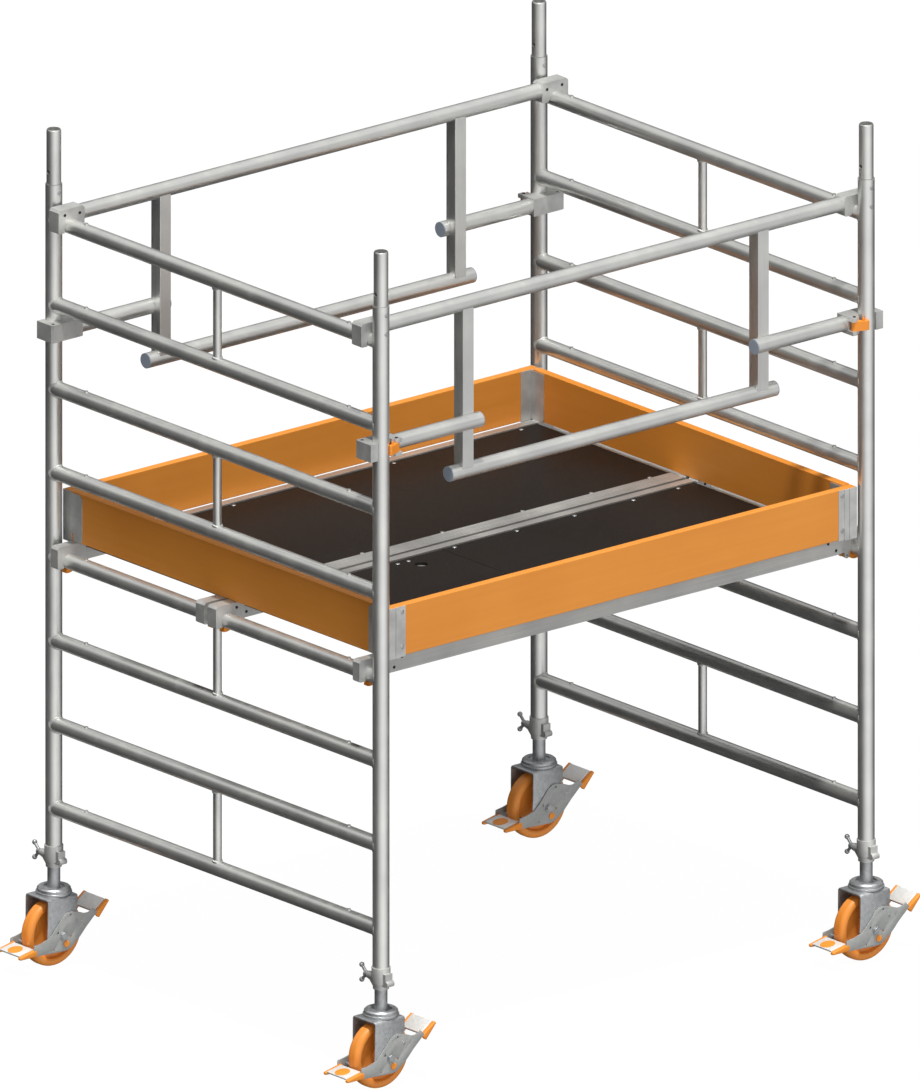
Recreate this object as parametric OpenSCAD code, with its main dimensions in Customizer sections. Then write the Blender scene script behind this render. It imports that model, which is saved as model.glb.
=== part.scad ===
// Mobile access tower section: two ladder frames, two hook-on decks with a hatch,
// two guard rails, toe boards and four braked castors. Millimetres, +Z up.
// X runs along the bay, Y across the ladder frames, and the floor is at Z = 0.

/* [Tower] */
// Post centre to post centre along the bay
bay_length = 1792; // [1400:1:2600]
// Post centre to post centre across a ladder frame
bay_width = 1440; // [1250:1:1800]
// Length of each post tube
post_length = 2000; // [1950:1:2400]
// Foot of the posts above the floor
post_foot = 326; // [310:1:420]
// Rung to rung
rung_pitch = 250; // [240:1:265]
// First rung above the foot of the post
first_rung = 141; // [110:1:160]

/* [Tubes] */
// Outside diameter of the posts
post_d = 48.3; // [46:0.1:56]
// Wall of the posts
post_wall = 2.9; // [2:0.1:3.5]
// Outside diameter of the rungs
rung_d = 45; // [34:0.1:46]
// Wall of the rungs
rung_wall = 2; // [1.5:0.1:3]
// Outside diameter of the upright struts between rungs
strut_d = 25; // [18:0.1:28]
// Height of the joining spigots above the posts
spigot_rise = 162; // [120:1:220]
// Length of the spigots held inside the posts
spigot_depth = 150; // [110:1:200]
// Wall of the spigots
spigot_wall = 3; // [2.5:0.1:4]

/* [Guard rails] */
// Outside diameter of the guard rail tubes
rail_d = 44.5; // [38:0.1:46]
// Wall of the guard rail tubes
rail_wall = 2; // [1.5:0.1:3]
// Side of the square uprights
upright_side = 40; // [30:0.5:42]
// Distance of the uprights from the middle of the bay
upright_x = 545; // [400:1:590]
// Half length of the lower tube
lower_half = 600; // [595:1:640]
// Inner end of the short side tubes, from the middle of the bay
stub_start = 508; // [370:1:520]

/* [Decks] */
// Height of the deck side rails
deck_rail_h = 54; // [50:1:60]
// Width of the box part of a deck side rail
deck_rail_w = 28; // [26:1:32]
// Width of the wide ribbed rail of the rear deck
wide_rail_w = 60; // [50:1:75]
// Wall of the deck side rails
deck_wall = 3; // [2:0.1:4]
// Thickness of the deck panels
panel_t = 10; // [8:0.5:12]
// Position of the joint between the hatch and the fixed panel
hatch_joint_x = -100; // [-300:1:0]
// Diameter of the finger hole in the hatch
finger_hole_d = 37; // [25:1:50]

/* [Toe boards] */
// Thickness of the toe boards
toe_t = 25; // [18:0.5:28]
// Height of the long toe boards
toe_h = 150; // [120:1:170]
// Height of the end toe boards
end_toe_h = 146.5; // [110:0.5:160]

/* [Castors] */
// Wheel diameter
wheel_d = 200; // [180:1:202]
// Wheel width
wheel_w = 42; // [36:1:50]
// Horizontal distance of the wheel centre from the swivel axis
trail = 10; // [0:1:14]
// Outside width of the fork
fork_w = 100; // [96:1:110]
// Outside diameter of the stem
stem_d = 37; // [34:0.1:39]
// Wall of the stem
stem_wall = 4; // [3:0.1:6]
// Length of the stem held inside the post
stem_depth = 250; // [200:1:400]

/* [Hidden] */
$fn = 48;
half_l = bay_length / 2;
half_w = bay_width / 2;
post_r = post_d / 2;
post_bore = post_d - 2 * post_wall;
rung_r = rung_d / 2;
post_top = post_foot + post_length;
rung_count = 8;
function rung_z(k) = post_foot + first_rung + rung_pitch * k;
deck_rung_z = rung_z(3);
top_rung_z = rung_z(rung_count - 1);
seat_gap = 0.2;              // between a hook or claw and the tube it sits on
fit_gap = 0.3;               // between pieces that slip into each other
eps = 1;                     // overlap of cutting bodies

// Ladder frames
nib_d = 12;
nib_h = 3;
nib_y = half_w - 142;
spigot_d = post_bore - 0.5;
spigot_held_d = spigot_d - 0.4;
spigot_hole_d = 12;
spigot_hole_up = 37;
spigot_nose = 5;
spigot_neck = 1.2;           // depth of the groove round the spigot at the post's end
spigot_neck_down = 6;
spigot_neck_up = 1.5;
rivet_d = 8;
rivet_head_d = 13;
rivet_head_h = 2.5;
rivet_seat = post_r - sqrt(pow(post_r, 2) - pow(rivet_head_d / 2, 2)) + 0.1;
spigot_rivet_down = [24, 80];

// Guard rails
rail_z = top_rung_z + 28;
rail_y = half_w - 54;
lower_z = rail_z - 497.5;
stub_z = rail_z - 348;
stub_y = half_w - 30;
cap_t = 3;
cap_depth = 16;
hook_over = 45;              // reach of a hook past the rung axis
hook_drop = 17;              // how far its jaw hangs below the rung axis
claw_w = 42;
claw_top = rail_z - top_rung_z + 25;
claw_in = 51;                // inner face of the claw, inboard of the rung axis
claw_plug = 50;
jaw_h = 52;
jaw_in = 63;
jaw_out = 50;
jaw_back = 53;
jaw_front = 15;
ear_t = 12;
ear_in = 33;
latch_u = -50;
latch_v = 8;
latch_r = 9;
latch_nose_r = 5;
latch_reach = 38.2;
latch_angle = 26.5;
latch_knob_at = 26;
latch_knob_d = 7;
latch_pin_d = 6;

// Decks
deck_top = deck_rung_z + 45;
panel_top = deck_top - 4;
ledge_w = 10;
ledge_t = 3;
ledge_z = panel_top - panel_t;
deck_edge = half_w - 37;     // outer face of the outer rails
front_inner = -8;            // inner edge of the front deck
rear_inner = 6;              // inner edge of the rear deck
hook_in = 60;                // the hooks' inner ends, inboard of the rung axis
deck_end = half_l - hook_in; // end of the side rails
cross_w = 38;
cross_h = 28;
end_cross_x = deck_end - 85;
cross_mid_front = 380;       // middle of the extra cross tube under the fixed front panel
cross_mid_rear = 280;        // middles of the two inner cross tubes of the rear deck
panel_gap = 0.5;
panel_end = deck_end - panel_gap;
hatch_gap = 1.5;
hatch_lift = 0.3;
hook_w_outer = 30;
hook_w_inner = 38;
hook_top = 48;
hook_back = 9;
hook_plug = 60;
outer_hook_screws = [[-109, 31], [-80, 5]];
inner_hook_screw = [-31, 33];
inner_rail_screw = [-77, 7.6];
hook_outer_y = half_w - 56;
hook_front_y = -29;
hook_rear_y = 23;
catch_w = 18;
catch_slot = 18.8;
catch_u = -(rung_r + 13.5);
catch_v = -(hook_back + 10);
catch_r = 8;
catch_in_r = rung_r + 1.8;
catch_out_r = rung_r + 14;
catch_from = 180 + asin((hook_back + 0.9) / catch_in_r);
catch_to = 285;
catch_pin_d = 5;
hinge_y = -(deck_edge - deck_rail_w - 3);
hinge_z = deck_top + 3;
hinge_r = 4;
hinge_pin_d = 4;
hinge_len = 60;
hinge_split = 15;
hinge_play = 0.5;
hinge_leaf_t = 2;
hinge_xs = [-(deck_end - 110), hatch_joint_x - 130];
finger_x = hatch_joint_x - 130;
finger_y = -104;

// Toe boards
toe_z = deck_top + 0.5;
end_toe_z = deck_rung_z + hook_top + 1;
toe_y = half_w - 8;          // outer face of the long boards
toe_x = half_l - 31;         // outer face of the end boards
plate_t = 2;
bracket_x = half_l - 96;
bracket_end = half_l - 31;
bracket_low = 3;             // how far the brackets reach below the long boards
bracket_h = toe_h + 1;
bracket_rib = 2.5;
bracket_bands = [[20.5, 37], [38.5, bracket_end - bracket_x]];
toe_rivet_x = bracket_x + 12.5;
toe_rivet_z = [28, 131.5];
end_plate_y = toe_y - toe_t - plate_t - 0.5;
end_plate_w = 54;
end_plate_low = deck_rung_z + hook_top;
end_plate_h = end_toe_z + end_toe_h - end_plate_low - 4;

// Castors
wheel_r = wheel_d / 2;
axle_x = -trail;
axle_d = 12;
leg_t = 4;
leg_y = fork_w / 2;
crown_z = wheel_d + 9;
crown_t = 5;
race_d = 108;
race_t = 7;
flange_d = 97;
flange_t = 11.5;
flange_z = crown_z + crown_t + race_t + fit_gap;
kingpin_d = 16;
kingpin_head_d = 30;
kingpin_head_h = 6;
nut_af = 19;
nut_h = 8;
lever_t = 3;
lever_y = leg_y + 0.6;
pedal_w = 84;
pedal_t = 6;
cheek_d = 13;
clamp_h_up = 30;
clamp_h_down = 34;
clamp_wall = 3;
clamp_screw_z = -6.5;        // wing screw, from the foot of the post
clamp_pivot_z = -13;
clamp_boss_d = 22;
clamp_boss_y = 54;
clamp_ear_t = 14;
clamp_pivot_d = 18;
clamp_pivot_w = 26;
wing_d = 10;
wing_hub_d = 18;
wing_lobe_r = 7.5;
wing_spread = 22;
wing_flare = 84;

// Screws
screw_d = 9;
screw_out = 0.5;
screw_in = 12;
socket_af = 4.5;
socket_deep = 2;
pin_head_d = 9;
pin_head_h = 2;

left = -1;
right = 1;
front = -1;
rear = 1;
hook_ys = [-hook_outer_y, hook_front_y, hook_rear_y, hook_outer_y];
hook_ws = [hook_w_outer, hook_w_inner, hook_w_inner, hook_w_outer];
deck_rail_ws = [deck_rail_w, deck_rail_w, wide_rail_w, deck_rail_w];
deck_rail_ys = [                // middles of the four side rails
    -deck_edge + deck_rail_w / 2, front_inner - deck_rail_w / 2,
    rear_inner + wide_rail_w / 2, deck_edge - deck_rail_w / 2
];

module alu() { color([0.83, 0.83, 0.81]) children(); }
module cast() { color([0.72, 0.72, 0.71]) children(); }
module zinc() { color([0.66, 0.67, 0.68]) children(); }
module orange() { color([0.93, 0.55, 0.16]) children(); }
module phenolic() { color([0.16, 0.12, 0.1]) children(); }
module cap_grey() { color([0.43, 0.49, 0.57]) children(); }

// ---- shared shapes ----

module tube(length, d, wall) {
    difference() {
        cylinder(h = length, d = d);
        translate([0, 0, -eps]) cylinder(h = length + 2 * eps, d = d - 2 * wall);
    }
}

module along_x(x0, x1) { translate([x0, 0, 0]) rotate([0, 90, 0]) children(); }
module rod_x(x0, x1, d) { along_x(x0, x1) cylinder(h = x1 - x0, d = d); }
module tube_x(x0, x1, d, wall) { along_x(x0, x1) tube(x1 - x0, d, wall); }
module rod_y(y0, y1, d) { translate([0, y0, 0]) rotate([-90, 0, 0]) cylinder(h = y1 - y0, d = d); }
module tube_y(y0, y1, d, wall) { translate([0, y0, 0]) rotate([-90, 0, 0]) tube(y1 - y0, d, wall); }

module box(low, high) { translate(low) cube(high - low); }

// A profile drawn in X and Z, made solid along Y from y0 to y1
module slab_y(y0, y1) {
    translate([0, y1, 0]) rotate([90, 0, 0]) linear_extrude(height = y1 - y0) children();
}

// Moves to the corner of the bay and turns its shape outwards
module at_corner(sx, sy) {
    translate([sx * half_l, sy * half_w, 0])
        mirror([sx < 0 ? 1 : 0, 0, 0])
            mirror([0, sy < 0 ? 1 : 0, 0])
                children();
}

// Turns a shape outwards at one end of the bay
module at_end(sx) {
    translate([sx * half_l, 0, 0]) mirror([sx < 0 ? 1 : 0, 0, 0]) children();
}

// Points along an arc about [x, 0]
function arc(r, x, from, to) = [
    for (i = [0 : 16])
        let(a = from + (to - from) * i / 16) [x + r * cos(a), r * sin(a)]
];

// Two round ends joined by their tangents
module link_2d(r1, r2, d) {
    lean = asin((r1 - r2) / d);
    polygon(concat(arc(r1, 0, 90 - lean, 270 + lean), arc(r2, d, lean - 90, 90 - lean)));
}

// Part of a ring between two angles less than 180 degrees apart
module sector_2d(r_in, r_out, from, to) {
    reach = 2 * r_out;
    middle = (from + to) / 2;
    intersection() {
        difference() {
            circle(r = r_out);
            circle(r = r_in);
        }
        polygon([
            [0, 0],
            [reach * cos(from), reach * sin(from)],
            [reach * cos(middle), reach * sin(middle)],
            [reach * cos(to), reach * sin(to)]
        ]);
    }
}

module rounded_square(x, y, r) {
    square([x - 2 * r, y], center = true);
    square([x, y - 2 * r], center = true);
    for (i = [-1, 1], j = [-1, 1])
        translate([i * (x / 2 - r), j * (y / 2 - r)]) circle(r = r);
}

// A socket screw head that points along +Z, its face screw_out above Z = 0
module socket_screw() {
    difference() {
        translate([0, 0, -screw_in]) cylinder(h = screw_in + screw_out, d = screw_d);
        translate([0, 0, screw_out - socket_deep])
            cylinder(h = socket_deep + eps, d = socket_af * 1.155, $fn = 6);
    }
}

module screw_hole() {
    translate([0, 0, -screw_in]) cylinder(h = screw_in + 2 * eps, d = screw_d);
}

// ---- ladder frames ----

module posts(sx) {
    alu() for (sy = [front, rear])
        translate([sx * half_l, sy * half_w, post_foot]) difference() {
            tube(post_length, post_d, post_wall);
            for (down = spigot_rivet_down)
                translate([0, 0, post_length - down]) rod_y(-post_r - eps, post_r + eps, rivet_d);
        }
}

module rungs(sx) {
    alu() for (k = [0 : rung_count - 1])
        translate([sx * half_l, 0, rung_z(k)]) difference() {
            union() {
                tube_y(-half_w, half_w, rung_d, rung_wall);
                for (s = [-1, 1])
                    translate([0, s * nib_y, rung_r - rung_wall])
                        cylinder(h = rung_wall + nib_h, d = nib_d);
            }
            for (s = [-1, 1])
                translate([0, s * half_w, -rung_d]) cylinder(h = 2 * rung_d, d = post_d);
        }
}

module frame_struts() {
    alu() for (sx = [left, right], k = [0 : 2 : rung_count - 2])
        translate([sx * half_l, 0, rung_z(k)]) difference() {
            tube(rung_pitch, strut_d, rung_wall);
            for (z = [0, rung_pitch])
                translate([0, 0, z]) rod_y(-strut_d, strut_d, rung_d);
        }
}

module spigots() {
    r = spigot_d / 2;
    alu() for (sx = [left, right], sy = [front, rear])
        translate([sx * half_l, sy * half_w, post_top]) difference() {
            rotate_extrude() polygon([
                [r - spigot_wall, -spigot_depth],
                [spigot_held_d / 2, -spigot_depth],
                [spigot_held_d / 2, -spigot_neck_down],
                [r - spigot_neck, -spigot_neck_down],
                [r - spigot_neck, spigot_neck_up],
                [r, spigot_neck_up],
                [r, spigot_rise - spigot_nose],
                [r - 0.8, spigot_rise - 2],
                [r - 2.2, spigot_rise],
                [r - spigot_wall, spigot_rise]
            ]);
            translate([0, 0, spigot_hole_up]) rod_x(-spigot_d, spigot_d, spigot_hole_d);
            for (down = spigot_rivet_down)
                translate([0, 0, -down]) rod_y(-spigot_d, spigot_d, rivet_d);
        }
}

// ---- guard rails ----

module rail_tubes(sy) {
    alu() {
        translate([0, sy * rail_y, rail_z])
            tube_x(-half_l + claw_in, half_l - claw_in, rail_d, rail_wall);
        translate([0, sy * rail_y, lower_z]) tube_x(-lower_half, lower_half, rail_d, rail_wall);
        for (sx = [left, right]) mirror([sx < 0 ? 1 : 0, 0, 0])
            translate([0, sy * stub_y, stub_z])
                tube_x(stub_start, half_l - jaw_in, rail_d, rail_wall);
    }
}

module rail_uprights() {
    side = upright_side;
    alu() for (sx = [left, right], sy = [front, rear]) difference() {
        translate([sx * upright_x, sy * rail_y, lower_z]) difference() {
            translate([-side / 2, -side / 2, 0]) cube([side, side, rail_z - lower_z]);
            translate([-side / 2 + rail_wall, -side / 2 + rail_wall, -eps])
                cube([side - 2 * rail_wall, side - 2 * rail_wall, rail_z - lower_z + 2 * eps]);
        }
        for (z = [lower_z, rail_z])
            translate([0, sy * rail_y, z]) rod_x(-half_l, half_l, rail_d);
        translate([0, sy * stub_y, stub_z]) rod_x(-half_l, half_l, rail_d);
    }
}

// A claw over the top rung, drawn from the rung's axis
module claw_2d() {
    difference() {
        polygon([
            [-claw_in, -2], [-claw_in, claw_top - 7], [-claw_in + 7, claw_top],
            [hook_over - 7, claw_top], [hook_over, claw_top - 7], [hook_over, -hook_drop + 4],
            [hook_over - 4, -hook_drop], [rung_r + seat_gap, -hook_drop],
            [rung_r + seat_gap, 0], [-rung_r - seat_gap, 0],
            [-rung_r - seat_gap - 6, -6], [-claw_in + 5, -6]
        ]);
        circle(r = rung_r + seat_gap);
    }
}

claw_screws = [[-33, 33], [22, 36]];

module top_claw() {
    translate([0, rail_y - half_w, top_rung_z]) difference() {
        union() {
            slab_y(-claw_w / 2, claw_w / 2) claw_2d();
            translate([0, 0, rail_z - top_rung_z])
                rod_x(-claw_in - claw_plug, -claw_in + eps, rail_d - 2 * rail_wall - fit_gap);
        }
        for (at = claw_screws)
            translate([at[0], -claw_w / 2, at[1]]) rotate([90, 0, 0]) screw_hole();
    }
}

// The cradle at the end of a short side tube, drawn from the post's axis
module jaw_2d() {
    difference() {
        union() {
            translate([-jaw_in, -jaw_back])
                square([jaw_in - post_r - seat_gap, jaw_back - 3.5]);
            translate([-jaw_in, -jaw_back])
                square([jaw_in + jaw_out - 4, jaw_back - post_r]);
            translate([-post_r - seat_gap, -jaw_back])
                square([2 * (post_r + seat_gap), jaw_back]);
            translate([post_r + seat_gap, -jaw_back + 4])
                square([jaw_out - post_r - seat_gap, jaw_back + jaw_front - 4]);
        }
        circle(r = post_r + seat_gap);
    }
}

module ear_2d() {
    translate([-jaw_in, -4]) square([jaw_in - ear_in, 12]);
    translate([latch_u, latch_v]) circle(r = 10);
    translate([-jaw_in, -4]) square([13, 22]);
}

module stub_jaw() {
    pin = latch_pin_d;
    translate([0, 0, stub_z]) difference() {
        union() {
            translate([0, 0, -jaw_h / 2]) linear_extrude(height = jaw_h) jaw_2d();
            for (z = [-jaw_h / 2, jaw_h / 2 - ear_t])
                translate([0, 0, z]) linear_extrude(height = ear_t) ear_2d();
            translate([0, stub_y - half_w, 0])
                rod_x(-jaw_in - claw_plug, -jaw_in + eps, rail_d - 2 * rail_wall - fit_gap);
        }
        translate([latch_u, latch_v, -jaw_h]) cylinder(h = 2 * jaw_h, d = pin);
        translate([36, -40, jaw_h / 2]) screw_hole();
    }
}

module rail_claws() {
    cast() for (sx = [left, right], sy = [front, rear]) at_corner(sx, sy) {
        top_claw();
        stub_jaw();
    }
}

module end_cap() {
    rod_x(-cap_t, 0, rail_d);
    rod_x(-eps, cap_depth, rail_d - 2 * rail_wall - fit_gap);
}

module rail_end_caps() {
    cap_grey() for (sx = [left, right], sy = [front, rear]) mirror([sx < 0 ? 1 : 0, 0, 0]) {
        translate([lower_half, sy * rail_y, lower_z]) mirror([1, 0, 0]) end_cap();
        translate([stub_start, sy * stub_y, stub_z]) end_cap();
    }
}

module latch(sx, sy) {
    h = jaw_h - 2 * ear_t - 2 * seat_gap;
    orange() at_corner(sx, sy) translate([latch_u, latch_v, stub_z]) difference() {
        rotate([0, 0, latch_angle]) union() {
            translate([0, 0, -h / 2]) linear_extrude(height = h)
                link_2d(latch_r, latch_nose_r, latch_reach);
            translate([latch_knob_at, 0, h / 2 - eps]) cylinder(h = 9, d = latch_knob_d);
        }
        translate([0, 0, -h]) cylinder(h = 2 * h, d = latch_pin_d + 0.4);
    }
}

// ---- decks ----

// A box rail from y0 to y1 with a panel ledge on one side
module deck_rail(y0, y1, ledge_side) {
    low = deck_top - deck_rail_h;
    edge = ledge_side > 0 ? y1 : y0;
    difference() {
        box([-deck_end, y0, low], [deck_end, y1, deck_top]);
        box([-deck_end - eps, y0 + deck_wall, low + deck_wall],
            [deck_end + eps, y1 - deck_wall, deck_top - deck_wall]);
    }
    box([-deck_end, min(edge, edge + ledge_side * ledge_w), ledge_z - ledge_t],
        [deck_end, max(edge, edge + ledge_side * ledge_w), ledge_z]);
}

module rail_grooves(y0, y1) {
    pitch = 9;
    for (y = [y0 + 7 : pitch : y1 - 6])
        box([-deck_end - eps, y, deck_top - 1.2], [deck_end + eps, y + 3, deck_top + eps]);
}

// Cross tubes between two side rails
module deck_cross(y0, y1, xs) {
    top = ledge_z - ledge_t;
    for (x = xs) difference() {
        box([x - cross_w / 2, y0, top - cross_h], [x + cross_w / 2, y1, top]);
        box([x - cross_w / 2 + rung_wall, y0 - eps, top - cross_h + rung_wall],
            [x + cross_w / 2 - rung_wall, y1 + eps, top - rung_wall]);
    }
}

// Puts its shape at every screw of the deck hooks, with +Z pointing out of the deck
module at_deck_screws() {
    for (sx = [left, right]) at_end(sx) translate([0, 0, deck_rung_z])
        for (s = [-1, 1]) {
            hook_y = s < 0 ? hook_front_y - hook_w_inner / 2 : hook_rear_y + hook_w_inner / 2;
            box_y = s < 0 ? front_inner - deck_rail_w : rear_inner + wide_rail_w;
            for (at = outer_hook_screws)
                translate([at[0], s * deck_edge, at[1]]) rotate([-s * 90, 0, 0]) children();
            translate([inner_hook_screw[0], hook_y, inner_hook_screw[1]])
                rotate([-s * 90, 0, 0]) children();
            translate([inner_rail_screw[0], box_y, inner_rail_screw[1]])
                rotate([-s * 90, 0, 0]) children();
        }
}

module front_deck_rails() {
    outer = -deck_edge + deck_rail_w;
    inner = front_inner - deck_rail_w;
    alu() difference() {
        union() {
            deck_rail(-deck_edge, outer, 1);
            deck_rail(inner, front_inner, -1);
            deck_cross(outer, inner, [-end_cross_x, hatch_joint_x, cross_mid_front, end_cross_x]);
        }
        at_deck_screws() screw_hole();
    }
}

module rear_deck_rails() {
    outer = deck_edge - deck_rail_w;
    inner = rear_inner + wide_rail_w;
    alu() difference() {
        union() {
            deck_rail(outer, deck_edge, -1);
            deck_rail(rear_inner, inner, 1);
            deck_cross(inner, outer, [-end_cross_x, -cross_mid_rear, cross_mid_rear, end_cross_x]);
        }
        rail_grooves(rear_inner, inner);
        at_deck_screws() screw_hole();
    }
}

front_panel_y0 = -deck_edge + deck_rail_w + panel_gap;
front_panel_y1 = front_inner - deck_rail_w - panel_gap;

module front_deck_panel() {
    phenolic() box([hatch_joint_x + hatch_gap, front_panel_y0, ledge_z],
                   [panel_end, front_panel_y1, panel_top]);
}

module rear_deck_panel() {
    phenolic() box([-panel_end, rear_inner + wide_rail_w + panel_gap, ledge_z],
                   [panel_end, deck_edge - deck_rail_w - panel_gap, panel_top]);
}

module hatch_panel() {
    phenolic() difference() {
        box([-panel_end + hatch_gap, hinge_y - 0.5, ledge_z + hatch_lift],
            [hatch_joint_x, front_panel_y1 - hatch_gap, panel_top]);
        translate([finger_x, finger_y, ledge_z - panel_t])
            cylinder(h = 3 * panel_t, d = finger_hole_d);
    }
}

module hatch_hinges() {
    h = hinge_len / 2;
    alu() for (x = hinge_xs) translate([x, hinge_y, hinge_z]) {
        for (s = [-1, 1]) mirror([s < 0 ? 1 : 0, 0, 0]) {
            x0 = h - hinge_split;
            difference() {
                union() {
                    rod_x(x0, h, 2 * hinge_r);
                    box([x0, -26, deck_top - hinge_z], [h, -1, deck_top - hinge_z + hinge_leaf_t]);
                }
                rod_x(x0 - eps, h + eps, hinge_pin_d);
            }
        }
        box([-h, -26, deck_top - hinge_z], [h, -5.5, deck_top - hinge_z + hinge_leaf_t]);
        rod_x(-h, h, hinge_pin_d);
    }
}

module hatch_leaves() {
    h = hinge_len / 2 - hinge_split - hinge_play;
    low = panel_top - hinge_z;
    alu() for (x = hinge_xs) translate([x, hinge_y, hinge_z]) {
        difference() {
            union() {
                rod_x(-h, h, 2 * hinge_r);
                box([-h, 0, low], [h, 6, 0]);
                box([-h, 0, low], [h, 28, low + hinge_leaf_t]);
            }
            rod_x(-h - eps, h + eps, hinge_pin_d + 0.4);
        }
    }
}

// A deck hook over its rung, drawn from the rung's axis
module hook_2d() {
    difference() {
        polygon([
            [-hook_in, -hook_back], [-hook_in, hook_top - 3], [3 - hook_in, hook_top],
            [hook_over - 7, hook_top],
            [hook_over, hook_top - 7], [hook_over, -hook_drop + 4], [hook_over - 4, -hook_drop],
            [rung_r + seat_gap, -hook_drop], [rung_r + seat_gap, 0], [-rung_r - seat_gap, 0],
            [-rung_r - seat_gap, -hook_back]
        ]);
        circle(r = rung_r + seat_gap);
    }
}

module hook_ear_2d() {
    translate([catch_u, catch_v]) circle(r = 9);
    translate([catch_u - 9, catch_v]) square([18, -catch_v - hook_back + 4]);
}

// The hook's plug follows the middle of the side rail that it slips into
module deck_hook(i) {
    w = hook_ws[i];
    plug_y = deck_rail_ys[i] - hook_ys[i];
    plug_half = deck_rail_ws[i] / 2 - deck_wall - fit_gap / 2;
    plug_low = deck_top - deck_rail_h + deck_wall + fit_gap / 2 - deck_rung_z;
    plug_high = deck_top - deck_wall - fit_gap / 2 - deck_rung_z;
    difference() {
        union() {
            slab_y(-w / 2, w / 2) hook_2d();
            slab_y(-w / 2, w / 2) hook_ear_2d();
            box([-hook_in - hook_plug, plug_y - plug_half, plug_low],
                [-hook_in + eps, plug_y + plug_half, plug_high]);
        }
        slab_y(-catch_slot / 2, catch_slot / 2)
            translate([catch_u - 12, catch_v - 12]) square([24, 12 - catch_v - hook_back]);
        translate([catch_u, 0, catch_v]) rod_y(-w, w, catch_pin_d);
    }
}

module deck_hooks() {
    cast() difference() {
        for (sx = [left, right], i = [0 : 3])
            at_end(sx) translate([0, hook_ys[i], deck_rung_z]) deck_hook(i);
        at_deck_screws() screw_hole();
    }
}

module deck_catch(sx, i) {
    orange() at_end(sx) translate([0, hook_ys[i], deck_rung_z])
        slab_y(-catch_w / 2, catch_w / 2) difference() {
            union() {
                translate([catch_u, catch_v]) circle(r = catch_r);
                sector_2d(catch_in_r, catch_out_r, catch_from, catch_to);
            }
            translate([catch_u, catch_v]) circle(d = catch_pin_d + 0.4);
        }
}

// ---- toe boards ----

module long_toe_board(sy) {
    orange() mirror([0, sy < 0 ? 1 : 0, 0])
        box([-bracket_end + plate_t, toe_y - toe_t, toe_z],
            [bracket_end - plate_t, toe_y, toe_z + toe_h]);
}

module end_toe_board(sx) {
    y = end_plate_y - plate_t;
    orange() mirror([sx < 0 ? 1 : 0, 0, 0])
        box([toe_x - toe_t, -y, end_toe_z], [toe_x, y, end_toe_z + end_toe_h]);
}

module long_bracket() {
    low = toe_z - bracket_low;
    y = toe_y;
    difference() {
        box([bracket_x, y - toe_t - plate_t, low], [bracket_end, y + plate_t, low + bracket_h]);
        box([bracket_x - eps, y - toe_t, low - eps],
            [bracket_end - plate_t, y, low + bracket_h + eps]);
    }
    for (band = bracket_bands)
        box([bracket_x + band[0], y + plate_t - eps / 2, low],
            [bracket_x + band[1], y + plate_t + bracket_rib, low + bracket_h]);
}

module end_plate() {
    low = end_plate_low;
    w = end_plate_w;
    slot = [16, 24];
    translate([0, end_plate_y, 0]) difference() {
        box([toe_x - toe_t - plate_t, -w, low], [toe_x + plate_t, 0, low + end_plate_h]);
        box([toe_x - toe_t, -w - eps, low - eps], [toe_x, -plate_t, low + end_plate_h + eps]);
        translate([toe_x + toe_t, -w, low + end_plate_h]) rotate([45, 0, 0])
            cube([4 * toe_t, 14, 14], center = true);
        translate([toe_x, -w, low]) rotate([45, 0, 0])
            cube([4 * toe_t, 12, 12], center = true);
        box([toe_x, -slot[0], low - eps], [toe_x + toe_t, -slot[0] + 7, low + slot[1]]);
    }
}

module toe_brackets() {
    cast() for (sx = [left, right], sy = [front, rear])
        mirror([sx < 0 ? 1 : 0, 0, 0]) mirror([0, sy < 0 ? 1 : 0, 0]) {
            long_bracket();
            end_plate();
        }
}

// ---- fasteners ----

module rivet_head() {
    cylinder(h = rivet_head_h * 0.5, d = rivet_head_d);
    translate([0, 0, rivet_head_h * 0.5])
        cylinder(h = rivet_head_h * 0.5, d1 = rivet_head_d, d2 = rivet_head_d * 0.6);
}

module rivets() {
    zinc() for (sx = [left, right], sy = [front, rear]) {
        for (down = spigot_rivet_down)
            translate([sx * half_l, sy * half_w, post_top - down]) {
                rod_y(-post_r, post_r, rivet_d);
                difference() {
                    for (a = [90, -90])
                        rotate([a, 0, 0]) translate([0, 0, post_r - rivet_seat]) rivet_head();
                    translate([0, 0, -rivet_head_d]) cylinder(h = 2 * rivet_head_d, d = post_d);
                }
            }
        mirror([sx < 0 ? 1 : 0, 0, 0]) mirror([0, sy < 0 ? 1 : 0, 0])
            for (z = toe_rivet_z)
                translate([toe_rivet_x, toe_y + plate_t, toe_z + z]) rotate([-90, 0, 0])
                    rivet_head();
    }
}

module screws_and_pins() {
    zinc() for (sx = [left, right]) {
        for (sy = [front, rear]) at_corner(sx, sy) {
            for (at = claw_screws)
                translate([at[0], rail_y - half_w - claw_w / 2, top_rung_z + at[1]])
                    rotate([90, 0, 0]) socket_screw();
            translate([36, -40, stub_z + jaw_h / 2]) socket_screw();
            translate([latch_u, latch_v, stub_z - jaw_h / 2])
                cylinder(h = jaw_h, d = latch_pin_d);
            translate([latch_u, latch_v, stub_z + jaw_h / 2])
                cylinder(h = pin_head_h, d = pin_head_d);
        }
        for (i = [0 : 3]) at_end(sx)
            translate([catch_u, hook_ys[i], deck_rung_z + catch_v])
                rod_y(-hook_ws[i] / 2, hook_ws[i] / 2, catch_pin_d);
    }
    zinc() at_deck_screws() socket_screw();
}

// ---- castors, drawn from the foot of the post's axis ----

module at_post(sx, sy) { translate([sx * half_l, sy * half_w, 0]) children(); }

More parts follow.
